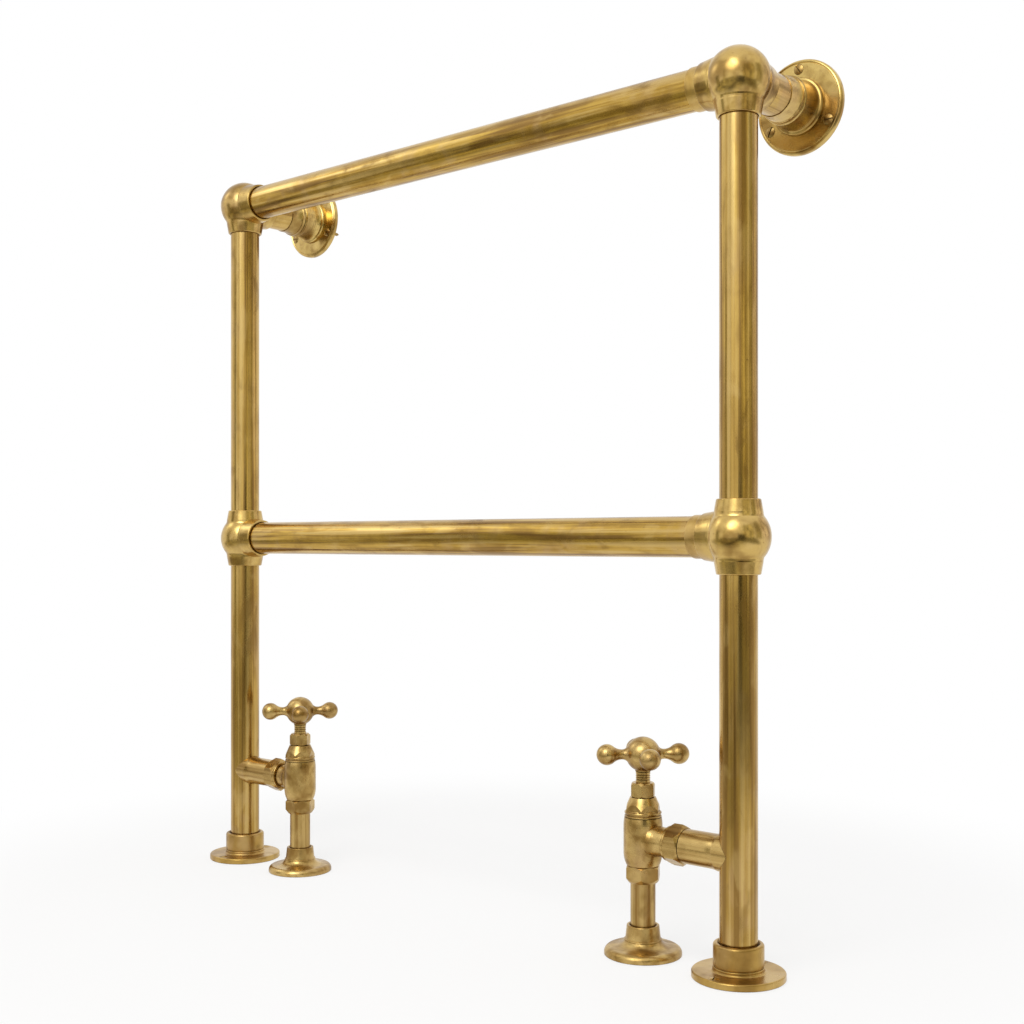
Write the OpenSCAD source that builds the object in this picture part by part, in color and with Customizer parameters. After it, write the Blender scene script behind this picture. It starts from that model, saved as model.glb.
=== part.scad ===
// Traditional floor-mounted brass towel rail: a tube frame with ball fittings that stands on two
// floor flanges, is stayed to the wall at its top corners, and is fed through two cross-head valves.
// Millimetres, +Z up, +Y towards the wall. Sub-parts are drawn for the right side, with the post
// axis in the plane y = 0, and the left side is their mirror image.

/* [Frame] */
// Distance between the axes of the two posts
post_spacing = 784; // [500:1:1100]
// Height of the top rail's axis above the floor
top_rail_z = 885; // [700:1:1200]
// Height of the middle rail's axis above the floor
mid_rail_z = 434; // [330:1:560]
// Distance from the post axis to the face of the wall
wall_reach = 124; // [116:1:170]

/* [Tubes] */
// Outside diameter of the posts
post_d = 38; // [36:0.5:41]
// Outside diameter of the two rails and the two wall stays
rail_d = 42; // [38:0.5:43]
// Wall thickness of the posts, rails and stays
tube_wall = 1.5; // [1:0.1:2]
// Radial clearance of a tube in its socket
tube_fit = 0.1; // [0.05:0.01:0.2]
// Clearance at the end of a tube or between stacked faces
end_gap = 0.1; // [0.05:0.01:0.2]

/* [Ball fittings] */
// Diameter of the ball
ball_d = 64.6; // [62:0.2:72]
// Distance from the ball's centre to the mouth of a socket
socket_reach = 37.5; // [36:0.5:44]
// Metal around a tube at the mouth of its socket
socket_wall = 3.2; // [2.5:0.1:4]
// Extra radius of a socket at its root
socket_draft = 2; // [0.4:0.1:3]
// Radius of the rounded edge at the mouth
mouth_edge = 1.6; // [0.6:0.1:2]
// Width of the bevel inside the mouth
mouth_bevel = 0.8; // [0.3:0.1:1]
// Radius of the fillet between ball and socket
root_fillet = 12; // [6:0.5:14]
// Metal between the end of a tube and the tube that crosses it
shoulder_wall = 3.4; // [2:0.1:5]
// Diameter of the waterways inside a fitting
waterway_d = 32; // [24:1:33]

/* [Rail ferrules] */
// Length of the ferrule at the right end of each rail
ferrule_l = 12; // [8:0.5:20]
// Thickness of the ferrule
ferrule_wall = 1.1; // [0.8:0.1:2]

/* [Floor flanges] */
// Diameter of the floor plate
plate_d = 93; // [92:1:110]
// Thickness of the floor plate
plate_t = 7; // [5:0.5:8]
// How far the bead at the foot of the collar stands out from it
step_w = 0.4; // [0.3:0.1:1.5]
// Height of the bead above the plate
step_h = 4.6; // [4.2:0.1:8]
// Metal around the post in the collar
collar_wall = 6.2; // [5:0.1:6.6]
// Height of the collar's top above the floor
collar_z = 34.5; // [24:0.5:60]
// Width of the bevel round the post at the collar's top
collar_bevel = 2.2; // [1:0.1:2.4]
// Thickness of the plug that seals the foot of the post
plug_t = 6; // [4:0.5:10]

/* [Wall flanges] */
// Diameter of the wall plate
wall_plate_d = 99.6; // [99:0.2:120]
// Thickness of the wall plate
wall_plate_t = 7; // [5:0.5:9]
// Radius of the raised ring on the wall plate
ring_r = 30; // [28.5:0.5:33]
// Distance from the wall to the mouth of the hub
hub_reach = 58; // [54:1:62]
// Metal around the stay at the mouth of the hub
hub_wall = 0.8; // [0.6:0.1:1.6]

/* [Screws] */
// Radius of the circle of screws on a wall plate
wall_screw_r = 39.5; // [39:0.1:39.7]
// Number of screws in a wall plate
wall_screw_count = 3; // [3:1:4]
// How far a wall screw stands out behind the plate
wall_screw_out = 15; // [10:1:50]
// Radius of the circle of screws on a floor plate
floor_screw_r = 38.2; // [37:0.1:38.6]
// How far the pair of screws is turned from straight front and back
floor_screw_turn = -5; // [-30:1:30]
// Radius of a screw's shank
shank_r = 2.4; // [2.3:0.1:2.6]
// Radius of the threaded part of a wall screw
thread_r = 2.2; // [1.8:0.1:2.2]
// Radius of a screw's head
head_r = 5.4; // [4.4:0.1:5.6]
// Height of the raised crown of a screw's head
head_crown = 1.1; // [0.6:0.1:1.6]
// Radial clearance of a screw in its hole
screw_fit = 0.3; // [0.15:0.05:0.5]
// Width of the slot in a screw's head
slot_w = 1.3; // [0.9:0.1:1.8]
// Depth of the slot below the plate's face
slot_depth = 0.7; // [0.4:0.1:1.2]

/* [Branches and unions] */
// Height of the branch axis above the floor
branch_z = 120; // [112:1:150]
// Outside diameter of a branch
branch_d = 35; // [34:0.5:36]
// Distance from the post axis to the joint face of the union
union_x = 62; // [50:1:66]
// Diameter of the waterway through the union
union_bore_d = 20; // [14:1:21]
// Radius of the thread that the union nut runs on
union_thread_r = 15.8; // [15.4:0.1:16]
// Length of the union nut's hexagon
union_nut_l = 18; // [16:0.5:22]
// Width across the flats of the union nut
union_nut_af = 37.2; // [36.6:0.2:38.4]
// Length of the round lip behind the hexagon
union_lip_l = 3; // [2:0.5:4]
// Radius of the tail that the union nut draws up
tail_r = 14; // [13.5:0.1:14.3]
// Running clearance between screwed and sliding pieces
thread_fit = 0.1; // [0.05:0.01:0.15]

/* [Valves] */
// Distance from the post axis to the valve's axis
valve_x = 116; // [112:1:150]
// Largest radius of the valve body
body_r = 20.3; // [19.8:0.1:22]
// Height of the body below the branch axis
body_drop = 27; // [25:0.5:32]
// Height of the body above the branch axis
body_rise = 23; // [21:0.5:26]
// Radius of the side boss at its end
boss_r = 15; // [14.6:0.1:16]
// Extra radius of the side boss at its root
boss_draft = 2.6; // [1:0.1:3]
// Radius of the hole through the valve seat
seat_r = 8; // [6:0.5:8.5]
// Height of the valve seat below the branch axis
seat_drop = 8; // [7:0.5:10]
// Lift of the jumper above the seat as the valve stands
lift = 3; // [2:0.5:4]
// Further lift to fully open
spare_lift = 2; // [1:0.5:3]
// Radius of the handle's stem
stem_r = 7.6; // [7:0.1:7.8]
// Height of the handle's centre above the branch axis
handle_rise = 88; // [86:0.5:100]

/* [Headwork] */
// Height of the round flange of the bonnet
bonnet_flange_h = 7; // [6.8:0.1:9]
// Height of the bonnet's hexagon
bonnet_hex_h = 13.5; // [12:0.5:15]
// Width across the flats of the bonnet
bonnet_af = 33; // [31:0.2:33.2]
// Height of the gland nut
gland_h = 15; // [12:0.5:16]
// Width across the flats of the gland nut
gland_af = 23.4; // [22.4:0.2:24.4]
// Number of turned rings on the stem below the handle
stem_rings = 3; // [2:1:3]

/* [Handles] */
// Radius of the ball at the centre of a handle
hub_ball_r = 18.2; // [17:0.1:20]
// Radius of the ball at the end of each arm
knob_r = 10.9; // [9:0.1:12]
// Distance from the handle's axis to the centre of a knob
knob_x = 38; // [36:0.5:46]
// Radius of an arm at its waist
waist_r = 5.2; // [4:0.1:6.4]
// Radius of the curve from waist to knob
waist_fillet = 14; // [8:0.5:16]
// Number of arms
arm_count = 4; // [3:1:4]
// How far the left handle is turned about +Z
left_handle_turn = -40; // [-90:1:90]
// How far the right handle is turned about +Z
right_handle_turn = -43; // [-90:1:90]

/* [Supply pipes] */
// Outside diameter of the supply pipe
pipe_d = 22; // [20:0.5:22.4]
// Wall thickness of the supply pipe
pipe_wall = 1.1; // [0.9:0.1:1.5]
// Outside diameter of the sleeve over the pipe
sleeve_d = 26; // [25.4:0.2:27]
// Wall thickness of the sleeve
sleeve_wall = 0.8; // [0.6:0.1:1]
// Width across the flats of the inlet nut
inlet_nut_af = 33; // [32.4:0.2:35]
// Height of the inlet nut
inlet_nut_h = 17.5; // [16:0.5:20]
// Diameter of the rosette on the floor
rosette_d = 81; // [76:1:90]
// Height of the rosette's hollow curve where it meets the collar
dome_h = 14.5; // [12:0.5:18]
// Height of the rosette's collar above the floor
rosette_collar_z = 31; // [28:0.5:40]

/* [Hidden] */
$fn = 96;
UP = [0, 0, 0];
DOWN = [180, 0, 0];
INWARD = [0, -90, 0];
WALLWARD = [-90, 0, 0];
SIDES = [["left", -1], ["right", 1]];

// Places that follow from the driving sizes
post_x = post_spacing / 2;
post_y = -(wall_reach + wall_screw_out - plate_d / 2) / 2;
tube_stop = max(post_d, rail_d) / 2 + tube_fit + shoulder_wall;
tube_end = tube_stop + end_gap;
fillet_sink = 0.4;
post_foot_z = 3;
stay_end_y = wall_reach - 12;

// Union, measured from the post axis towards the valve
spigot_l = 8;
washer_t = 1.5;
tail_collar_l = 3.4;
nut_gap = 0.9;
washer_x = union_x + spigot_l + end_gap;
tail_x = washer_x + washer_t + end_gap;
lip_x = tail_x + tail_collar_l + end_gap;
boss_face_x = union_x + end_gap + union_nut_l + union_lip_l + nut_gap;
tail_thread_r = 12.4;
tail_thread_l = 8;

// Valve levels, measured from the branch axis
boss_x = valve_x - boss_face_x;
seat_z = -seat_drop;
jumper_washer_t = 3;
jumper_disc_t = 3;
jumper_washer_r = 10.4;
jumper_disc_r = 11;
jumper_z = seat_z + lift + jumper_washer_t;
spindle_z = jumper_z + jumper_disc_t + end_gap / 2;
pivot_r = 3;
pivot_l = 8;
chamber_r = 14;
skirt_r = 15.6;
skirt_z = seat_z + lift + jumper_washer_t + jumper_disc_t + spare_lift + 6;
spindle_thread_r = 8.7;
bonnet_z = body_rise + end_gap;
bonnet_hex_z = bonnet_z + bonnet_flange_h;
bonnet_top_z = bonnet_hex_z + bonnet_hex_h;
packing_box_r = 10.5;
packing_t = 4;
packing_z = bonnet_top_z - 11.5;
thread_top_z = packing_z - 3 - spare_lift - 0.5;
gland_z = bonnet_top_z + end_gap;
gland_top_z = gland_z + gland_h;
hub_foot_z = handle_rise - hub_ball_r;
stem_ring_pitch = 2.4;
square_w = 10;
square_top_z = handle_rise + hub_ball_r - 8;

// Inlet levels, measured from the branch axis
inlet_z = -body_drop;
inlet_spigot_l = 9;
inlet_thread_r = pipe_d / 2 + 2.9;
olive_h = 3.4;
olive_z = inlet_z - inlet_spigot_l - end_gap - olive_h;
inlet_nut_z = inlet_z - end_gap - inlet_nut_h;
pipe_socket_l = 11;
sleeve_foot_z = 12;

// Points of an arc about a centre, from one angle to another
function arc(centre, r, from, to, n = 6) =
    [for (i = [0:n]) let (a = from + (to - from) * i / n) centre + r * [cos(a), sin(a)]];

// Points of a curve that leaves the start towards the corner and comes to the end from it
function bow(start, corner, end, n = 6) =
    [for (i = [0:n]) let (t = i / n, u = 1 - t) u * u * start + 2 * t * u * corner + t * t * end];

// Circumscribed radius of a hexagon of a given width across the flats
function hex_r(across) = across / 2 / cos(30);

module at_post() translate([post_x, post_y, 0]) children();
module at_valve() translate([post_x - valve_x, post_y, branch_z]) children();

// Turns a shape made along +Z so that it runs from the post axis towards the valve
module inward() rotate(INWARD) children();
module wallward() rotate(WALLWARD) children();
module on_side(s) {
    if (s > 0) children();
    else mirror([1, 0, 0]) children();
}

module tube(d, wall, from, to) {
    translate([0, 0, from]) difference() {
        cylinder(d = d, h = to - from);
        translate([0, 0, -1]) cylinder(d = d - 2 * wall, h = to - from + 2);
    }
}

// Bevel round a bore of radius r, whose mouth is at height z
module mouth_cut(r, z, width) {
    translate([0, 0, z - width]) cylinder(r1 = r, r2 = r + 2 * width, h = 2 * width);
}

// Disc or ring with both outer edges rounded
module turned_ring(r_in, r_out, from, to, edge) {
    rotate_extrude() polygon(concat(
        [[r_in, from]], arc([r_out - edge, from + edge], edge, -90, 0, 4),
        arc([r_out - edge, to - edge], edge, 0, 90, 4), [[r_in, to]]));
}

// Hexagon prism with turned chamfers at the chosen ends
module hex_blank(across, from, to, low_chamfer, high_chamfer) {
    r = hex_r(across);
    flat_r = across / 2;
    slope = 0.6;
    intersection() {
        translate([0, 0, from]) cylinder(r = r, h = to - from, $fn = 6);
        rotate_extrude() polygon([[0, from], [flat_r - low_chamfer * slope, from],
            [r, from + (low_chamfer + (r - flat_r)) * slope + low_chamfer],
            [r, to - (high_chamfer + (r - flat_r)) * slope - high_chamfer],
            [flat_r - high_chamfer * slope, to], [0, to]]);
    }
}

// One socket of a ball fitting, along +Z from the ball's centre, with its root fillet
module socket_blank(tube_d) {
    r = tube_d / 2 + tube_fit + socket_wall;
    sunk_r = ball_d / 2 - fillet_sink;
    fillet_x = r + socket_draft + root_fillet;
    fillet_z = sqrt(pow(sunk_r + root_fillet, 2) - fillet_x * fillet_x);
    touch = atan2(fillet_z, fillet_x);
    rotate_extrude() polygon(concat([[0, fillet_z / 3], [sunk_r * cos(touch) - 2, fillet_z / 3]],
        arc([fillet_x, fillet_z], root_fillet, 180 + touch, 180, 5),
        arc([r - mouth_edge, socket_reach - mouth_edge], mouth_edge, 0, 90, 5),
        [[0, socket_reach]]));
}

module socket_bore(tube_d, open) {
    r = tube_d / 2 + tube_fit;
    translate([0, 0, tube_stop]) cylinder(r = r, h = socket_reach);
    mouth_cut(r, socket_reach, mouth_bevel);
    if (open) cylinder(d = waterway_d, h = socket_reach);
}

// Ball fitting with sockets given as [rotation, tube diameter, open to the waterway]
module ball_fitting(sockets) {
    difference() {
        union() {
            sphere(d = ball_d);
            for (s = sockets) rotate(s[0]) socket_blank(s[1]);
        }
        for (s = sockets) rotate(s[0]) socket_bore(s[1], s[2]);
    }
}

module top_ball() color("#c09a4a") at_post() translate([0, 0, top_rail_z])
    ball_fitting([[DOWN, post_d, true], [INWARD, rail_d, true], [WALLWARD, rail_d, false]]);

module mid_ball() color("#c09a4a") at_post() translate([0, 0, mid_rail_z])
    ball_fitting([[DOWN, post_d, true], [UP, post_d, true], [INWARD, rail_d, true]]);

module rail(z) color("#b8923f") translate([0, post_y, z]) rotate([0, 90, 0])
    tube(rail_d, tube_wall, tube_end - post_x, post_x - tube_end);

// Plain ring on the rail, hard up against the socket
module rail_ferrule(z) color("#c09a4a") at_post() translate([0, 0, z]) inward()
    turned_ring(rail_d / 2 + tube_fit, rail_d / 2 + tube_fit + ferrule_wall,
        socket_reach + end_gap, socket_reach + end_gap + ferrule_l, ferrule_wall / 2);

module upper_post() color("#b8923f") at_post()
    tube(post_d, tube_wall, mid_rail_z + tube_end, top_rail_z - tube_end);

// The lower post has a hole in its side where the branch is brazed on
module lower_post() color("#b8923f") at_post() difference() {
    tube(post_d, tube_wall, post_foot_z, mid_rail_z - tube_end);
    translate([0, 0, branch_z]) inward() cylinder(d = branch_d - 2 * tube_wall, h = post_d);
}

module post_plug() color("#a8843a") at_post()
    turned_ring(0, post_d / 2 - tube_wall - tube_fit, post_foot_z, post_foot_z + plug_t, 1);

module wall_stay() color("#b8923f") at_post() translate([0, 0, top_rail_z]) wallward()
    tube(rail_d, tube_wall, tube_end, stay_end_y);

// Screw along +Z with its raised countersunk head flush at z = 0, in a plate and out behind it
module screw(plate, out, angle) {
    cone_h = head_r - shank_r;
    point_l = 4;
    crown_r = (head_r * head_r + head_crown * head_crown) / (2 * head_crown);
    sweep = asin(head_r / crown_r);
    thread = [[0, -plate - out], [thread_r, point_l - plate - out], [thread_r, -plate - end_gap]];
    difference() {
        rotate_extrude() polygon(concat(out > 0 ? thread : [[0, -plate]],
            [[shank_r, out > 0 ? -plate - end_gap : -plate], [shank_r, -cone_h]],
            arc([0, head_crown - crown_r], crown_r, 90 - sweep, 90, 5)));
        rotate(angle) translate([-head_r - 1, -slot_w / 2, -slot_depth])
            cube([2 * head_r + 2, slot_w, slot_depth + head_crown + 1]);
    }
}

module screw_hole(depth) {
    cone_h = head_r - shank_r;
    translate([0, 0, -depth - 1]) cylinder(r = shank_r + screw_fit, h = depth + 2);
    translate([0, 0, -cone_h]) cylinder(r1 = shank_r + screw_fit, r2 = head_r + screw_fit, h = cone_h);
    cylinder(r = head_r + screw_fit, h = head_crown + 1);
}

// Places of the screws on a wall plate, seen along +Z out of the wall
module wall_screw_places() {
    for (i = [0:wall_screw_count - 1])
        rotate(90 + i * 360 / wall_screw_count) translate([wall_screw_r, 0, wall_plate_t]) children();
}

module floor_screw_places() {
    for (a = [-90, 90])
        rotate(a + floor_screw_turn) translate([floor_screw_r, 0, plate_t]) children();
}

// Turned profile of the wall flange, height measured from the wall: plate with a rounded rim, raised
// ring, hollow curve up to a bead and a plain band, and a last curve down to the thin mouth
module wall_flange_profile() {
    r = wall_plate_d / 2;
    t = wall_plate_t;
    rim_r = 3;
    ring_t = 1.5;
    shoulder_r = 3;
    bead_r = 1.75;
    mouth_r = rail_d / 2 + tube_fit + hub_wall;
    band_r = mouth_r + 2.6;
    hollow_r = band_r - 0.4;
    shoulder_z = t + ring_t + shoulder_r;
    bead_z = hub_reach - 22.2;
    band_z = hub_reach - 16;
    polygon(concat([[0, 0], [r - 0.8, 0], [r, 0.8]],
        arc([r - rim_r, t - rim_r], rim_r, 0, 80, 5),
        [[r - rim_r - 0.4, t - 0.7], [r - rim_r - 1.4, t], [ring_r, t]],
        arc([ring_r - shoulder_r, t + ring_t], shoulder_r, 0, 60, 5),
        bow([ring_r - shoulder_r, shoulder_z], [hollow_r, shoulder_z + 3], [hollow_r, bead_z - 2.4], 8),
        arc([band_r + 1 - bead_r, bead_z], bead_r, -90, 90, 6),
        [[band_r, bead_z + bead_r + 0.3], [band_r, band_z - 0.6], [band_r - 0.6, band_z]],
        bow([band_r - 0.8, band_z], [mouth_r, band_z + 6], [mouth_r, hub_reach - 0.3]),
        [[mouth_r - 0.3, hub_reach], [0, hub_reach]]));
}

module wall_flange() color("#c8a24e")
    at_post() translate([0, wall_reach, top_rail_z]) rotate([90, 0, 0]) difference() {
        rotate_extrude() wall_flange_profile();
        translate([0, 0, wall_reach - stay_end_y - end_gap])
            cylinder(r = rail_d / 2 + tube_fit, h = hub_reach);
        wall_screw_places() screw_hole(wall_plate_t);
    }

module wall_screws() color("#8a7a5a")
    at_post() translate([0, wall_reach, top_rail_z]) rotate([90, 0, 0])
        wall_screw_places() screw(wall_plate_t, wall_screw_out, 35);

// Floor flange: screwed plate, and a collar that is bevelled round the post and stands on a bead
module floor_flange() color("#c8a24e") at_post() difference() {
    bore_r = post_d / 2 + tube_fit;
    collar_r = post_d / 2 + collar_wall;
    step_r = collar_r + step_w;
    step_z = plate_t + step_h;
    groove_r = collar_r - 0.8;
    groove_w = 0.6;
    plate_edge = 1.8;
    step_edge = 1;
    foot_fillet = 2.4;
    collar_foot = 0.7;
    collar_edge = 2.8;
    rotate_extrude() polygon(concat([[0, 0], [plate_d / 2 - 0.6, 0], [plate_d / 2, 0.6]],
        arc([plate_d / 2 - plate_edge, plate_t - plate_edge], plate_edge, 0, 90, 5),
        arc([step_r + foot_fillet, plate_t + foot_fillet], foot_fillet, 270, 180, 5),
        arc([step_r - step_edge, step_z - step_edge], step_edge, 0, 90, 4),
        [[groove_r, step_z], [groove_r, step_z + groove_w]],
        arc([collar_r - collar_foot, step_z + groove_w + collar_foot], collar_foot, -90, 0, 4),
        arc([collar_r - collar_edge, collar_z - collar_edge], collar_edge, 0, 90, 6),
        [[0, collar_z]]));
    translate([0, 0, -1]) cylinder(r = bore_r, h = collar_z + 2);
    mouth_cut(bore_r, collar_z, collar_bevel);
    floor_screw_places() screw_hole(plate_t);
}

module floor_screws() color("#8a7a5a") at_post()
    floor_screw_places() screw(plate_t, 0, 20);

// Branch along +Z from the post axis: flared saddle end, shoulder and threaded spigot
module branch() color("#b8923f") at_post() translate([0, 0, branch_z]) difference() {
    r = branch_d / 2;
    root_r = min(r + 1.3, post_d / 2 - 0.2);
    spigot_r = union_thread_r - thread_fit;
    inward() difference() {
        rotate_extrude() polygon(concat([[0, 0], [root_r, 0]],
            bow([root_r, 20], [r, 24], [r, 32], 5),
            [[r, union_x - 0.6], [r - 0.6, union_x], [spigot_r, union_x],
            [spigot_r, union_x + spigot_l], [0, union_x + spigot_l]]));
        translate([0, 0, -1]) cylinder(d = branch_d - 2 * tube_wall, h = union_x - 5);
        cylinder(d = union_bore_d, h = union_x + spigot_l + 1);
    }
    translate([0, 0, -branch_d]) cylinder(r = post_d / 2 + tube_fit, h = 2 * branch_d);
}

module union_washer() color("#7a5a44") at_post() translate([0, 0, branch_z]) inward()
    turned_ring(union_bore_d / 2, union_thread_r - thread_fit, washer_x, washer_x + washer_t, 0.2);

// Union nut: a hexagon with a round lip that pulls on the collar of the tail
module union_nut() color("#c09a4a") at_post() translate([0, 0, branch_z]) inward() difference() {
    lip_r = union_nut_af / 2;
    from = union_x + end_gap;
    to = from + union_nut_l;
    union() {
        hex_blank(union_nut_af, from, to, 1.4, 1.4);
        turned_ring(0, lip_r - 0.6, to - 1, to + union_lip_l, 1.2);
    }
    translate([0, 0, from - 1]) cylinder(r = union_thread_r, h = lip_x - from + 1);
    translate([0, 0, from]) cylinder(r = tail_r + thread_fit, h = union_nut_l + union_lip_l + 1);
}

// Tail: collar inside the nut, plain neck, and a thread that screws into the valve's boss
module union_tail() color("#b8923f") at_post() translate([0, 0, branch_z]) inward() difference() {
    rotate_extrude() polygon([[0, tail_x], [union_thread_r - 0.4, tail_x],
        [union_thread_r - 0.4, tail_x + tail_collar_l], [tail_r, tail_x + tail_collar_l],
        [tail_r, boss_face_x - end_gap], [tail_thread_r, boss_face_x - end_gap],
        [tail_thread_r, boss_face_x + tail_thread_l], [0, boss_face_x + tail_thread_l]]);
    translate([0, 0, tail_x - 1]) cylinder(d = union_bore_d, h = valve_x);
}

// Side boss of the valve body, along +Z from the valve's axis, with a hollow curve to its end
module boss_blank() {
    root_r = boss_r + boss_draft;
    edge = 1;
    rotate_extrude() polygon(concat([[0, 0], [root_r, 0]],
        bow([root_r, body_r - 5], [boss_r, body_r - 1], [boss_r, boss_x - 2.5], 5),
        arc([boss_r - edge, boss_x - edge], edge, 0, 90, 4), [[0, boss_x]]));
}

module valve_body() color("#b48e46") at_valve() difference() {
    waist_z = -13;
    foot_r = body_r - 2.9;
    union() {
        rotate_extrude() polygon(concat([[0, inlet_z - inlet_spigot_l],
            [inlet_thread_r, inlet_z - inlet_spigot_l], [inlet_thread_r, inlet_z],
            [foot_r - 0.5, inlet_z]],
            bow([foot_r, inlet_z + 0.5], [body_r, inlet_z + 7], [body_r, waist_z]),
            bow([body_r, 14], [body_r, 18], [body_r - 0.9, body_rise], 4), [[0, body_rise]]));
        rotate([0, 90, 0]) boss_blank();
    }
    translate([0, 0, inlet_z - inlet_spigot_l - 1])
        cylinder(r = pipe_d / 2 + tube_fit, h = pipe_socket_l + 1);
    translate([0, 0, inlet_z - inlet_spigot_l])
        cylinder(r = seat_r, h = seat_z - inlet_z + inlet_spigot_l + 1);
    translate([0, 0, seat_z]) cylinder(r = chamber_r, h = skirt_z - seat_z);
    translate([0, 0, skirt_z - 1]) cylinder(r = skirt_r, h = body_rise - skirt_z + 2);
    rotate([0, 90, 0]) cylinder(d = union_bore_d - 2, h = boss_x + 1);
    translate([boss_x - tail_thread_l - 1, 0, 0]) rotate([0, 90, 0])
        cylinder(r = tail_thread_r + thread_fit, h = tail_thread_l + 2);
}

// Bonnet: skirt screwed into the body, round flange with two beads, and a coned hexagon
module bonnet() color("#b8923f") at_valve() difference() {
    flange_r = body_r - 1;
    low_bead = 1.2;
    high_bead = 1.5;
    union() {
        translate([0, 0, skirt_z + end_gap])
            cylinder(r = skirt_r - thread_fit, h = bonnet_hex_z - skirt_z - 1);
        rotate_extrude() polygon(concat([[0, bonnet_z]],
            arc([flange_r - low_bead, bonnet_z + low_bead], low_bead, -90, 90, 6),
            [[flange_r - 0.9, bonnet_z + 2.8]],
            arc([flange_r - high_bead, bonnet_z + 4.7], high_bead, -60, 90, 6),
            [[flange_r - high_bead - 0.4, bonnet_hex_z], [0, bonnet_hex_z]]));
        intersection() {
            translate([0, 0, bonnet_hex_z - 1])
                cylinder(r = hex_r(bonnet_af), h = bonnet_hex_h + 1, $fn = 6);
            rotate_extrude() polygon([[0, bonnet_z], [hex_r(bonnet_af), bonnet_z],
                [hex_r(bonnet_af), bonnet_hex_z + 1], [hex_r(gland_af), bonnet_top_z],
                [0, bonnet_top_z]]);
        }
    }
    translate([0, 0, skirt_z])
        cylinder(r = spindle_thread_r + thread_fit, h = thread_top_z + spare_lift + 0.5 - skirt_z);
    cylinder(r = stem_r + thread_fit, h = bonnet_top_z + 1);
    translate([0, 0, packing_z]) cylinder(r = packing_box_r, h = bonnet_top_z);
}

module gland_packing() color("#5f5648") at_valve()
    turned_ring(stem_r + thread_fit / 2, packing_box_r - thread_fit / 2,
        packing_z + end_gap / 2, packing_z + packing_t, 0.4);

// Gland nut: a hexagon whose screwed shank presses the packing on the stem
module gland_nut() color("#b8923f") at_valve() difference() {
    union() {
        translate([0, 0, packing_z + packing_t + end_gap])
            cylinder(r = packing_box_r - thread_fit, h = gland_z - packing_z - packing_t);
        hex_blank(gland_af, gland_z, gland_top_z, 0.4, 1);
    }
    translate([0, 0, packing_z]) cylinder(r = stem_r + thread_fit, h = gland_top_z);
}

// Points of the turned rings round the stem, from the top one up to the handle down
function stem_ring_points() =
    [for (i = [0:stem_rings - 1]) let (z = hub_foot_z - 1 - (stem_rings - i) * stem_ring_pitch)
        each [[stem_r, z], [stem_r - 1, z + 0.4], [stem_r - 1, z + 0.8], [stem_r, z + 1.2]]];

// Spindle: screwed foot with a socket for the jumper, plain stem, and a square for the handle
module spindle() color("#a8843a") at_valve() difference() {
    r = spindle_thread_r;
    union() {
        rotate_extrude() polygon(concat([[0, spindle_z], [r - 0.8, spindle_z], [r, spindle_z + 0.8],
            [r, thread_top_z - 0.8], [stem_r, thread_top_z]], stem_ring_points(),
            [[stem_r, hub_foot_z - end_gap], [0, hub_foot_z - end_gap]]));
        translate([-square_w / 2, -square_w / 2, hub_foot_z - 1])
            cube([square_w, square_w, square_top_z - hub_foot_z + 1]);
    }
    translate([0, 0, spindle_z - 1]) cylinder(r = pivot_r + 0.08, h = pivot_l + 2);
}

module jumper() color("#a8843a") at_valve() {
    pin_r = 2.2;
    pin_z = jumper_z - jumper_washer_t - 1;
    disc_z = jumper_z + jumper_disc_t;
    rotate_extrude() polygon([[0, pin_z], [pin_r - 0.6, pin_z], [pin_r, pin_z + 0.6], [pin_r, jumper_z],
        [jumper_disc_r - 0.5, jumper_z], [jumper_disc_r, jumper_z + 0.5], [jumper_disc_r, disc_z],
        [pivot_r, disc_z], [pivot_r, disc_z + pivot_l - 0.6], [pivot_r - 0.6, disc_z + pivot_l],
        [0, disc_z + pivot_l]]);
}

module jumper_washer() color("#2b2a28") at_valve()
    turned_ring(2.3, jumper_washer_r, jumper_z - jumper_washer_t + end_gap / 2,
        jumper_z - end_gap / 2, 0.5);

// Arm of the handle along +Z: one curve from the hub down to the waist, one up to the end knob
module handle_arm() {
    sunk_r = hub_ball_r - 0.2;
    knob_curve_x = waist_r + waist_fillet;
    waist_x = knob_x - sqrt(pow(knob_r + waist_fillet, 2) - knob_curve_x * knob_curve_x);
    hub_fillet = (waist_x * waist_x - sunk_r * sunk_r + waist_r * waist_r) / (2 * (sunk_r - waist_r));
    hub_curve_x = waist_r + hub_fillet;
    hub_touch = atan2(waist_x, hub_curve_x);
    knob_touch = atan2(knob_curve_x, knob_x - waist_x);
    rotate_extrude() polygon(concat([[0, 0], [sunk_r * cos(hub_touch) - 1, 1]],
        arc([hub_curve_x, waist_x], hub_fillet, 180 + hub_touch, 180, 6),
        arc([knob_curve_x, waist_x], waist_fillet, 180, 90 + knob_touch, 8),
        arc([0, knob_x], knob_r, knob_touch - 90, 90, 16)));
}

// Four-armed handle: ball hub, short neck below it and a square socket
module handle(turn) color("#c8a24e") at_valve() translate([0, 0, handle_rise]) difference() {
    neck_fillet = 8;
    neck_r = stem_r + 0.6;
    socket_w = square_w + 2 * thread_fit;
    union() {
        sphere(r = hub_ball_r);
        rotate_extrude() polygon(concat([[0, 0], [hub_ball_r * 0.75, 0]],
            arc([neck_r + neck_fillet, -hub_ball_r + 0.8], neck_fillet, 125, 180, 6), [[0, -hub_ball_r]]));
        for (i = [0:arm_count - 1]) rotate(turn + i * 360 / arm_count) rotate([0, 90, 0]) handle_arm();
    }
    translate([-socket_w / 2, -socket_w / 2, -hub_ball_r - 1])
        cube([socket_w, socket_w, square_top_z - handle_rise + hub_ball_r + 1 + end_gap]);
}

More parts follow.
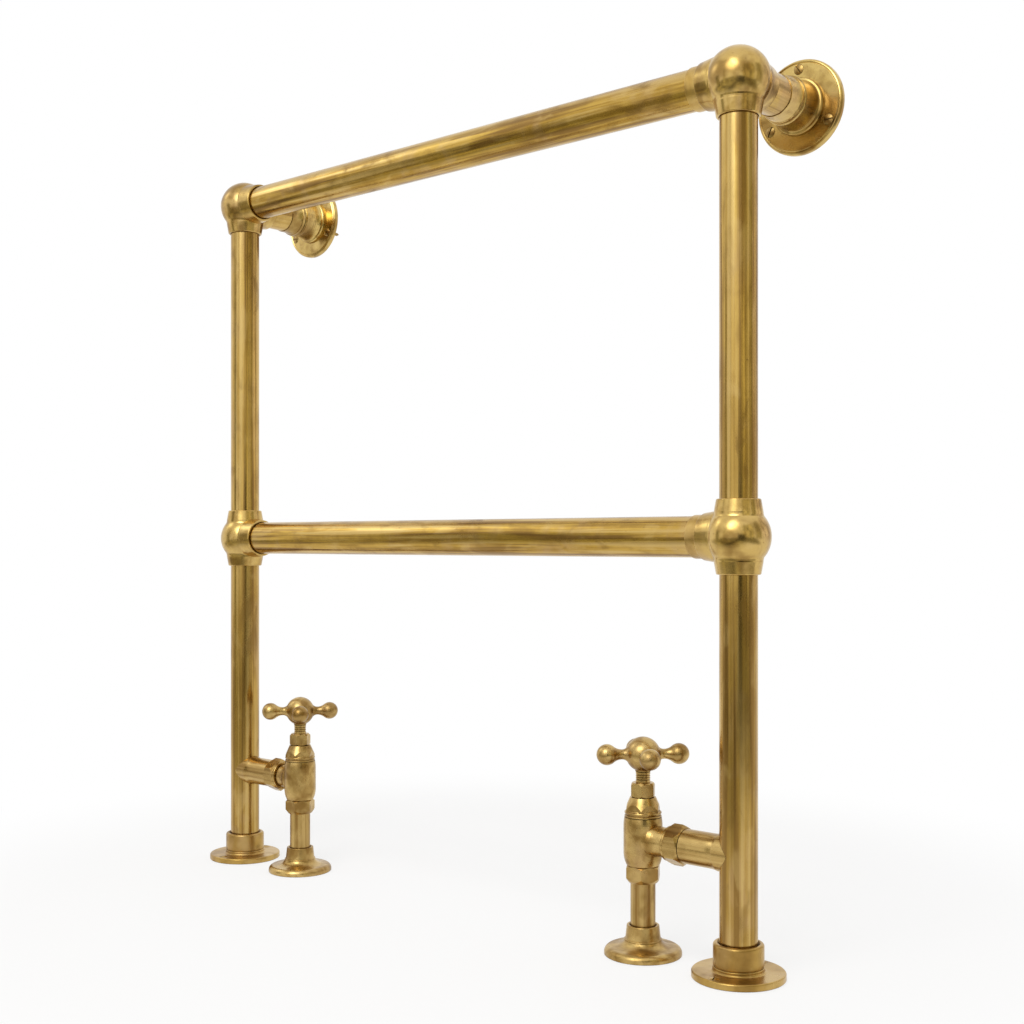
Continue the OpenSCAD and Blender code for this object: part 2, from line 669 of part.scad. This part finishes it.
// Compression nut on the inlet, with the olive inside it
module inlet_nut() color("#c09a4a") at_valve() difference() {
    to = inlet_z - end_gap;
    hex_blank(inlet_nut_af, inlet_nut_z, to, 2.2, 0.5);
    translate([0, 0, olive_z - end_gap]) cylinder(r = inlet_thread_r + thread_fit, h = inlet_nut_h);
    translate([0, 0, inlet_nut_z - 1]) cylinder(r = pipe_d / 2 + tube_fit, h = inlet_nut_h);
}

module inlet_olive() color("#b8923f") at_valve()
    turned_ring(pipe_d / 2 + thread_fit / 2, inlet_thread_r - 0.3, olive_z, olive_z + olive_h, 1.2);

module supply_pipe() color("#b06a45") at_valve()
    tube(pipe_d, pipe_wall, -branch_z, inlet_z - inlet_spigot_l + pipe_socket_l - end_gap);

module pipe_sleeve() color("#b8923f") at_valve()
    tube(sleeve_d, sleeve_wall, sleeve_foot_z - branch_z, inlet_nut_z - end_gap);

// Rosette: disc with a rolled rim, hollow below, that curves up to a bead and a collar which is
// bevelled round the sleeve
module rosette() color("#c8a24e") at_valve() translate([0, 0, -branch_z]) difference() {
    r = rosette_d / 2;
    rim_r = 6;
    rim_z = 8.4;
    metal = 2.2;
    hollow_r = r - 4;
    collar_r = sleeve_d / 2 + 5.8;
    lip_r = collar_r - 1.8;
    lip_edge = 0.9;
    bead_r = 1;
    rotate_extrude() polygon(concat([[0, 0], [r - 0.5, 0], [r, 0.5]],
        arc([r - rim_r, rim_z - rim_r], rim_r, 0, 84, 8),
        bow([r - rim_r - 1, rim_z + 0.1], [collar_r + 2.6, rim_z + 1], [collar_r + 1, dome_h]),
        arc([collar_r, dome_h + 1.3], bead_r, -45, 90, 5),
        [[collar_r - 0.4, dome_h + 2.5]],
        arc([lip_r - lip_edge, rosette_collar_z - lip_edge], lip_edge, 0, 90, 4),
        [[0, rosette_collar_z]]));
    translate([0, 0, -1]) cylinder(r = pipe_d / 2 + tube_fit, h = rosette_collar_z);
    translate([0, 0, sleeve_foot_z - end_gap])
        cylinder(r = sleeve_d / 2 + tube_fit, h = rosette_collar_z);
    mouth_cut(sleeve_d / 2 + tube_fit, rosette_collar_z, 1.4);
    rotate_extrude() polygon([[collar_r - 1, -1], [hollow_r, -1], [hollow_r, rim_z / 2],
        [hollow_r - 3, rim_z - metal], [collar_r - 1, rim_z - metal + 0.4]]);
}

rail(top_rail_z);  // top_rail
rail(mid_rail_z);  // mid_rail
rail_ferrule(top_rail_z);  // top_rail_ferrule
rail_ferrule(mid_rail_z);  // mid_rail_ferrule
for (side = SIDES) {
    name = side[0];
    s = side[1];
    on_side(s) floor_flange();
    on_side(s) floor_screws();
    on_side(s) post_plug();
    on_side(s) lower_post();
    on_side(s) mid_ball();
    on_side(s) upper_post();
    on_side(s) top_ball();
    on_side(s) wall_stay();
    on_side(s) wall_flange();
    on_side(s) wall_screws();
    on_side(s) branch();
    on_side(s) union_washer();
    on_side(s) union_nut();
    on_side(s) union_tail();
    on_side(s) valve_body();
    on_side(s) bonnet();
    on_side(s) gland_packing();
    on_side(s) gland_nut();
    on_side(s) spindle();
    on_side(s) jumper();
    on_side(s) jumper_washer();
    on_side(s) handle(s > 0 ? right_handle_turn : -left_handle_turn);
    on_side(s) inlet_nut();
    on_side(s) inlet_olive();
    on_side(s) supply_pipe();
    on_side(s) pipe_sleeve();
    on_side(s) rosette();
}
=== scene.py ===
"""Aged brass, studio and camera for the heated towel rail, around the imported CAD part.

The part keeps its CAD shapes: this script gives them finishes and adds no geometry to them.
Lengths are in metres, colours in linear RGB, and angles in degrees.
"""

import math
from functools import cached_property

import bpy  # noqa: E402
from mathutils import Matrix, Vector  # noqa: E402

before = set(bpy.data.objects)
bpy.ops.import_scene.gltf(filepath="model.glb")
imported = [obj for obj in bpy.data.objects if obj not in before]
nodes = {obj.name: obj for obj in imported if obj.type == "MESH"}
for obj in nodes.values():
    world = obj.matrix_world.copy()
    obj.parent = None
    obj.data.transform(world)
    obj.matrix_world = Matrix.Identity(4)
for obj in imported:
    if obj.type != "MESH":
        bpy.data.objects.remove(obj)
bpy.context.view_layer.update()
scene = bpy.context.scene
scene.view_settings.view_transform = "Standard"


class Graph:
    """The node tree of a material or world, with short calls to add and join its nodes."""

    def __init__(self, owner, output="ShaderNodeOutputMaterial"):
        owner.use_nodes = True
        self.owner = owner
        self.tree = owner.node_tree
        self.tree.nodes.clear()
        self.surface = self.add(output).inputs["Surface"]

    def add(self, kind, **settings):
        node = self.tree.nodes.new(kind)
        for key, value in settings.items():
            setattr(node, key, value)
        return node

    def join(self, source, target):
        self.tree.links.new(source, target)

    def feed(self, value, socket):
        """Join an output to socket, or set socket to a colour or number."""
        if isinstance(value, bpy.types.NodeSocket):
            self.join(value, socket)
        elif isinstance(value, tuple):
            socket.default_value = (*value, 1.0)
        else:
            socket.default_value = value

    @cached_property
    def coords(self):
        return self.add("ShaderNodeTexCoord").outputs["Object"]

    def stretched(self, scale):
        """Object coordinates multiplied by scale along X, Y and Z."""
        node = self.add("ShaderNodeVectorMath", operation="MULTIPLY")
        self.join(self.coords, node.inputs[0])
        node.inputs[1].default_value = scale
        return node.outputs[0]

    def axes(self):
        """X, Y and Z of the object coordinates."""
        node = self.add("ShaderNodeSeparateXYZ")
        self.join(self.coords, node.inputs[0])
        return tuple(node.outputs)

    def radius(self):
        """Distance from the object's origin, in object coordinates."""
        node = self.add("ShaderNodeVectorMath", operation="LENGTH")
        self.join(self.coords, node.inputs[0])
        return node.outputs["Value"]

    def noise(self, vector, scale=1.0, detail=3.0, roughness=0.5, distortion=0.0):
        node = self.add("ShaderNodeTexNoise")
        self.join(vector, node.inputs["Vector"])
        node.inputs["Scale"].default_value = scale
        node.inputs["Detail"].default_value = detail
        node.inputs["Roughness"].default_value = roughness
        node.inputs["Distortion"].default_value = distortion
        return node.outputs["Fac"]

    def remap(self, value, low, high, to_low=0.0, to_high=1.0):
        """to_low where value is low, to_high where it is high, with a soft change in between."""
        node = self.add("ShaderNodeMapRange", interpolation_type="SMOOTHSTEP")
        self.join(value, node.inputs["Value"])
        node.inputs["From Min"].default_value = low
        node.inputs["From Max"].default_value = high
        node.inputs["To Min"].default_value = to_low
        node.inputs["To Max"].default_value = to_high
        return node.outputs["Result"]

    def math(self, operation, *values):
        node = self.add("ShaderNodeMath", operation=operation)
        for value, socket in zip(values, node.inputs):
            self.feed(value, socket)
        return node.outputs[0]

    def total(self, first, *others):
        for value in others:
            first = self.math("ADD", first, value)
        return first

    def crevices(self, reach):
        """1 in tight corners, which have other surfaces within reach, and 0 in the open."""
        near = self.add("ShaderNodeAmbientOcclusion", samples=8)
        near.inputs["Distance"].default_value = reach
        return self.remap(near.outputs["AO"], 0.62, 0.20)

    def seen_or_mirrored(self):
        """1 for camera, glossy and transmission rays, 0 for the rays that light the object."""
        path = self.add("ShaderNodeLightPath").outputs
        either = self.math("MAXIMUM", path["Is Camera Ray"], path["Is Glossy Ray"])
        return self.math("MAXIMUM", either, path["Is Transmission Ray"])

    def mix(self, factor, a, b):
        """Colour a where factor is 0 and b where it is 1."""
        node = self.add("ShaderNodeMix", data_type="RGBA")
        self.join(factor, node.inputs["Factor"])
        self.feed(a, node.inputs["A"])
        self.feed(b, node.inputs["B"])
        return node.outputs["Result"]

    def bump(self, height, distance, under=None):
        """A normal bent by height, on top of the normal under it."""
        node = self.add("ShaderNodeBump")
        self.join(height, node.inputs["Height"])
        node.inputs["Distance"].default_value = distance
        if under is not None:
            self.join(under, node.inputs["Normal"])
        return node.outputs["Normal"]

    def glow(self, colour, strength, kind="ShaderNodeEmission"):
        node = self.add(kind)
        self.feed(colour, node.inputs["Color"])
        self.feed(strength, node.inputs["Strength"])
        return node.outputs[0]

    def clear(self):
        return self.add("ShaderNodeBsdfTransparent").outputs[0]

    def blend(self, factor, a, b):
        """Shader a where factor is 0 and b where it is 1."""
        node = self.add("ShaderNodeMixShader")
        for source, socket in zip((factor, a, b), node.inputs):
            self.join(source, socket)
        return node.outputs[0]

    def finish(self, metallic, colour, roughness, normal):
        """End the tree with one surface, and return its material."""
        node = self.add("ShaderNodeBsdfPrincipled")
        self.feed(metallic, node.inputs["Metallic"])
        self.feed(colour, node.inputs["Base Color"])
        self.feed(roughness, node.inputs["Roughness"])
        self.feed(normal, node.inputs["Normal"])
        self.join(node.outputs["BSDF"], self.surface)
        return self.owner


def material_graph(name):
    return Graph(bpy.data.materials.new(name))


# Colours of the brass: clean, dulled by air and hands, stained, the grime and painted shade in
# corners, the faint pink of old polish, and the brown and pale marks that a cloth leaves
CLEAN = (0.585, 0.385, 0.112)
DULL = (0.420, 0.256, 0.064)
STAIN = (0.210, 0.118, 0.028)
GRIME_AND_SHADE = (0.095, 0.055, 0.018)
BLUSH = (0.500, 0.330, 0.150)
BROWN = (0.270, 0.152, 0.040)
PALE = (0.640, 0.450, 0.170)

UPRIGHT_MARKS = (1.0, 1.0, 0.5)  # scale that makes marks twice as tall as wide
SHADE_STARTS_BELOW, SHADE_FULL_BELOW = 0.42, 0.06  # heights between which pieces get a painted shade that darkens them toward the floor
DIRT_AND_SHADE_REACH = 0.006
STREAK_DEPTH = 0.00012
LINE_DEPTH = 0.000012


def brass(name, grain, clean=CLEAN, dull=DULL, shine=0.17, spread=0.10, stain=0.45, floor_shade=0.0,
          rub=0.6, wave=0.0002):
    """Unlacquered brass that has been polished by hand for years.

    grain: polishing lines per metre along X, Y and Z, so few along a tube and many across it
    clean, dull: colours where it is polished, and where air and hands have dulled it
    shine, spread: least roughness, and how much rougher it gets in places
    stain, rub: how strong the stains are, and the brown and pale marks of rubbing
    floor_shade: how strong the painted shade is that darkens it near the floor
    wave: how far polishing has left the surface uneven, in metres
    """
    g = material_graph(name)
    drawn_out = tuple((lines / max(grain)) ** 0.25 for lines in grain)
    cloud = g.noise(g.coords, scale=11.0, detail=4.0, roughness=0.6, distortion=0.4)
    blotch = g.noise(g.stretched(drawn_out), scale=60.0, distortion=0.5)
    line = g.noise(g.stretched(grain), roughness=0.6)
    streak = g.noise(g.stretched(grain), scale=0.36, detail=2.0, distortion=0.25)
    haze = g.noise(g.stretched(UPRIGHT_MARKS), scale=24.0, roughness=0.6, distortion=0.6)
    fleck = g.noise(g.coords, scale=260.0, detail=2.0)
    swell = g.noise(g.stretched(UPRIGHT_MARKS), scale=28.0, detail=2.0)

    tone = g.math("MULTIPLY", g.math("ADD", cloud, line), 0.5)
    height = g.axes()[2]
    base = g.mix(g.remap(tone, 0.41, 0.63), clean, dull)
    # Painted shade: darker towards the floor, mixed towards the dull colour
    base = g.mix(g.remap(height, SHADE_STARTS_BELOW, SHADE_FULL_BELOW, 0.0, floor_shade), base, dull)
    # Each mark's noise, the values at which it starts and is full, its strength and its colour
    for noise, start, full, strength, colour in (
        (haze, 0.50, 0.72, 0.6, BLUSH),
        (streak, 0.51, 0.65, rub, BROWN),
        (streak, 0.49, 0.37, 0.65 * rub, PALE),
        (blotch, 0.50, 0.70, 0.45 * rub, BROWN),
        (blotch, 0.46, 0.32, 0.35 * rub, PALE),
    ):
        base = g.mix(g.remap(noise, start, full, 0.0, strength), base, colour)
    patches = g.math("MULTIPLY", g.remap(blotch, 0.54, 0.74), g.remap(cloud, 0.42, 0.66))
    specks = g.remap(fleck, 0.70, 0.80, 0.0, 0.6)
    base = g.mix(g.math("MAXIMUM", g.math("MULTIPLY", patches, stain), specks), base, STAIN)
    # Grime and painted shade: dark brown mixed in where other surfaces are close, in corners and
    # between parts
    uneven = g.remap(blotch, 0.25, 0.60, 0.35, 0.85)
    dirt_and_shade = g.math("MULTIPLY", g.crevices(DIRT_AND_SHADE_REACH), uneven)
    base = g.mix(dirt_and_shade, base, GRIME_AND_SHADE)

    roughness = g.total(
        g.remap(cloud, 0.35, 0.70, shine, shine + 0.6 * spread),
        g.remap(line, 0.35, 0.70, 0.0, 0.4 * spread),
        g.math("MULTIPLY", patches, 0.15),
        g.math("MULTIPLY", dirt_and_shade, 0.25),
    )
    normal = g.bump(streak, STREAK_DEPTH, g.bump(swell, wave))
    return g.finish(1.0, base, roughness, g.bump(line, LINE_DEPTH, normal))


def plain(name, low, high, roughness, metallic=0.0, grain=300.0):
    """A finish of two close tones with a fine grain, for the pieces inside."""
    g = material_graph(name)
    speckle = g.noise(g.coords, scale=grain, detail=4.0, roughness=0.6)
    colour = g.mix(g.remap(speckle, 0.35, 0.65), low, high)
    uneven = g.remap(speckle, 0.30, 0.70, roughness - 0.08, roughness + 0.08)
    return g.finish(metallic, colour, uneven, g.bump(speckle, 0.0001))


def even(lines):
    """The same grain along X, Y and Z, for cast and turned pieces."""
    return (lines, lines, lines)


FINE = 420.0  # lines per metre across the polishing
LONG = 5.0  # and along it
SATIN = {
    "clean": (0.472, 0.310, 0.104), "dull": (0.352, 0.217, 0.065),
    "shine": 0.23, "spread": 0.15, "stain": 0.6, "rub": 0.9, "wave": 0.0005,
}

upright = brass("brass_upright", (FINE, FINE, LONG), clean=(0.570, 0.372, 0.100),
                dull=(0.408, 0.247, 0.057), floor_shade=0.8, rub=0.95, wave=0.0003)
across = brass("brass_across", (12.0, FINE, FINE), clean=(0.556, 0.353, 0.075),
               dull=(0.392, 0.228, 0.041), stain=0.6, rub=1.0, wave=0.0005)
stay = brass("brass_stay", (FINE, LONG, FINE), stain=0.35)
cast = brass("brass_cast", even(90.0), clean=(0.610, 0.414, 0.130),
             dull=(0.445, 0.280, 0.078), rub=0.7, wave=0.0007)
plate = brass("brass_plate", even(60.0), clean=(0.650, 0.465, 0.158),
              dull=(0.520, 0.352, 0.108), shine=0.18, stain=0.7, rub=0.8, wave=0.0016)
turned = brass("brass_turned", even(60.0), shine=0.27, spread=0.12, stain=0.6, floor_shade=0.6,
               wave=0.0004)
satin = brass("brass_satin", even(120.0), **SATIN)
satin_across = brass("brass_satin_across", (8.0, FINE, FINE), **SATIN)
satin_upright = brass("brass_satin_upright", (FINE, FINE, 8.0), **SATIN)
handled = brass("brass_handled", even(120.0), clean=(0.425, 0.275, 0.094),
                dull=(0.290, 0.178, 0.055), shine=0.26, spread=0.15, stain=0.7, rub=1.0,
                wave=0.0008)
screw = brass("brass_screw", even(300.0), clean=(0.400, 0.255, 0.085),
              dull=(0.260, 0.160, 0.050), shine=0.26, spread=0.12, stain=0.6)
copper = plain("copper", (0.42, 0.17, 0.09), (0.55, 0.26, 0.15), 0.35, metallic=1.0)
rubber = plain("rubber", (0.020, 0.019, 0.018), (0.035, 0.033, 0.031), 0.70)
fibre = plain("fibre", (0.19, 0.070, 0.040), (0.27, 0.11, 0.065), 0.75)
packing = plain("packing", (0.30, 0.27, 0.21), (0.42, 0.38, 0.31), 0.85, grain=700.0)

# The finish of each piece, where left_ and right_ pieces share one
FINISHES = {
    "top_rail": across, "mid_rail": across,
    "top_rail_ferrule": turned, "mid_rail_ferrule": turned,
    "lower_post": upright, "upper_post": upright, "mid_ball": cast, "top_ball": cast,
    "floor_flange": turned, "floor_screws": turned, "post_plug": turned,
    "wall_stay": stay, "wall_flange": plate, "wall_screws": screw,
    "branch": satin_across, "union_nut": satin_across, "union_tail": satin_across,
    "union_washer": fibre, "valve_body": satin, "bonnet": satin, "gland_nut": satin,
    "gland_packing": packing, "spindle": satin_upright, "handle": handled,
    "jumper": satin, "jumper_washer": rubber, "inlet_nut": satin, "inlet_olive": satin,
    "supply_pipe": copper, "pipe_sleeve": satin_upright, "rosette": satin,
}
for name, obj in nodes.items():
    key = name if name in FINISHES else name.split("_", 1)[1]
    obj.data.materials.clear()
    obj.data.materials.append(FINISHES[key])


def stage_plane(name, size, place, facing, material):
    """A rectangle of the studio, centred at place and facing a point."""
    bpy.ops.mesh.primitive_plane_add(size=1)
    obj = bpy.context.object
    obj.name = name
    obj.scale = (*size, 1)
    obj.location = place
    obj.rotation_euler = (Vector(facing) - Vector(place)).to_track_quat("Z", "Y").to_euler()
    obj.data.materials.append(material)
    return obj


def mirrored_card(name, size, place, facing, material):
    """A rectangle of the studio that only shows in reflections."""
    card = stage_plane(name, size, place, facing, material)
    card.visible_camera = False
    card.visible_diffuse = False
    card.visible_shadow = False
    card.visible_transmission = False


EDGE = 0.5  # from the middle to the edge of a card, in its object coordinates
WARM, COOL = 0.62, 0.95  # share of a flag's tone that is left in the blue


def flag(name, size, place, facing, tone, blue=WARM, mottle=(20.0, 14.0, 1.0), dim=0.45,
         bright=1.8):
    """A soft-edged card for the darker parts of the room that brass mirrors.

    mottle: patches across its width and height
    dim, bright: strength of its darkest and lightest patches
    """
    g = material_graph(name)
    x, y, _ = g.axes()
    from_middle = g.math("MAXIMUM", g.math("ABSOLUTE", x), g.math("ABSOLUTE", y))
    patches = g.noise(g.stretched(mottle), roughness=0.6)
    strength = g.remap(patches, 0.38, 0.64, dim, bright)
    light = g.glow((tone, 0.94 * tone, blue * tone), strength)
    g.join(g.blend(g.remap(from_middle, 0.36, EDGE), light, g.clear()), g.surface)
    mirrored_card(name, size, place, facing, g.owner)


def upright_flag(name, azimuth, span, height, distance, tone, blue=WARM):
    """A flag that stands on the floor. azimuth and span are seen from the origin, from +X to +Y."""
    turn = math.radians(azimuth)
    width = 2 * distance * math.tan(math.radians(span) / 2)
    place = (distance * math.cos(turn), distance * math.sin(turn), height / 2)
    flag(name, (width, height), place, (0, 0, height / 2), tone, blue, mottle=(9.0, 2.0, 1.0))


def soft_light(name, width, place, facing, peak, halo):
    """A round light with a wide soft edge, seen in reflections only."""
    g = material_graph(name)
    core = g.remap(g.radius(), 0.02, 0.28, peak, 0.0)
    skirt = g.remap(g.radius(), 0.10, EDGE, halo, 0.0)
    both = g.add("ShaderNodeAddShader")
    g.join(g.glow((0.88, 0.95, 1.0), g.total(core, skirt)), both.inputs[0])
    g.join(g.clear(), both.inputs[1])
    g.join(both.outputs[0], g.surface)
    mirrored_card(name, (width, width), place, facing, g.owner)


def lamp(name, width, place, facing, watts):
    """A square lamp that lights the object but doesn't show in reflections."""
    data = bpy.data.lights.new(name, "AREA")
    data.shape = "RECTANGLE"
    data.size = data.size_y = width
    data.energy = watts
    data.color = (1.0, 0.985, 0.96)
    obj = bpy.data.objects.new(name, data)
    obj.location = place
    obj.rotation_euler = (Vector(facing) - Vector(place)).to_track_quat("-Z", "Y").to_euler()
    obj.visible_glossy = False
    scene.collection.objects.link(obj)


# A white backdrop where it is seen or mirrored, and a dimmer dome that lights the object
WHITE = (1.0, 1.0, 1.0)
DOME = 0.62
scene.world = bpy.data.worlds.new("studio")
g = Graph(scene.world, "ShaderNodeOutputWorld")
dome = g.glow(WHITE, DOME, kind="ShaderNodeBackground")
backdrop = g.glow(WHITE, 1.0, kind="ShaderNodeBackground")
g.join(g.blend(g.seen_or_mirrored(), dome, backdrop), g.surface)

# The floor takes the object's shadow, and turns into the white backdrop a little way from it
FLOOR_WIDTH = 14.0
FLOOR_Z = -0.0005
TURNS_FROM, TURNS_TO = 0.50, 0.95  # metres from the middle between which it turns white
g = material_graph("floor")
whiteness = g.remap(g.radius(), TURNS_FROM / FLOOR_WIDTH, TURNS_TO / FLOOR_WIDTH, 0.75, 1.0)
matt = g.add("ShaderNodeBsdfDiffuse")
g.feed((0.90, 0.895, 0.885), matt.inputs["Color"])
factor = g.math("MULTIPLY", whiteness, g.seen_or_mirrored())
g.join(g.blend(factor, matt.outputs[0], g.glow(WHITE, 1.0)), g.surface)
stage_plane("floor", (FLOOR_WIDTH, FLOOR_WIDTH), (0, 0, FLOOR_Z), (0, 0, 1), g.owner)

upright_flag("flag_right", azimuth=15, span=26, height=3.0, distance=3.0, tone=0.40)
upright_flag("flag_right_front", azimuth=-20, span=44, height=3.0, distance=3.1, tone=0.61)
upright_flag("flag_right_back", azimuth=55, span=54, height=3.0, distance=3.1, tone=0.70,
             blue=COOL)
upright_flag("flag_left", azimuth=-131, span=20, height=1.35, distance=2.45, tone=0.30)
upright_flag("flag_front", azimuth=-100, span=5, height=2.0, distance=2.6, tone=0.55)
upright_flag("flag_low", azimuth=-28, span=64, height=0.34, distance=2.9, tone=0.24)
flag("flag_standing", (0.74, 0.72), (1.40, -1.16, 0.36), facing=(0.3, 0, 0.36), tone=0.07)
flag("flag_floor", (8.5, 5.8), (1.2, -3.2, 0.004), facing=(1.2, -3.2, 1), tone=0.22,
     mottle=(13.0, 10.0, 1.0), dim=0.4, bright=3.2)
flag("flag_floor_right", (3.6, 2.6), (3.1, -0.5, 0.006), facing=(3.1, -0.5, 1), tone=0.26)

lamp("key", 1.1, (0.45, -1.3, 3.1), facing=(0, 0, 0.5), watts=36)
lamp("fill", 2.2, (1.9, -2.4, 1.9), facing=(0, 0, 0.5), watts=16)
soft_light("soft_key", 7.3, (0.74, -3.47, 3.37), facing=(0, 0, 0.6), peak=5.6, halo=0.3)
soft_light("soft_window", 3.4, (-3.0, -1.5, 2.9), facing=(0, 0, 0.5), peak=1.5, halo=0.3)

# The camera that was fitted to the photo: level, with its focal length in pixels of the photo
PHOTO_PIXELS = 1024
FOCAL_PIXELS = 1373.92
SENSOR_MM = 36.0
TURN_RADIANS = 0.723
lens = bpy.data.cameras.new("camera")
lens.sensor_width = SENSOR_MM
lens.lens = FOCAL_PIXELS / PHOTO_PIXELS * SENSOR_MM
lens.shift_x, lens.shift_y = -0.0023, 0.0290
lens.clip_start, lens.clip_end = 0.05, 60.0
camera = bpy.data.objects.new("camera", lens)
camera.location = (1.12194, -1.20738, 0.42908)
camera.rotation_euler = (math.radians(90), 0, TURN_RADIANS)
scene.collection.objects.link(camera)
scene.camera = camera
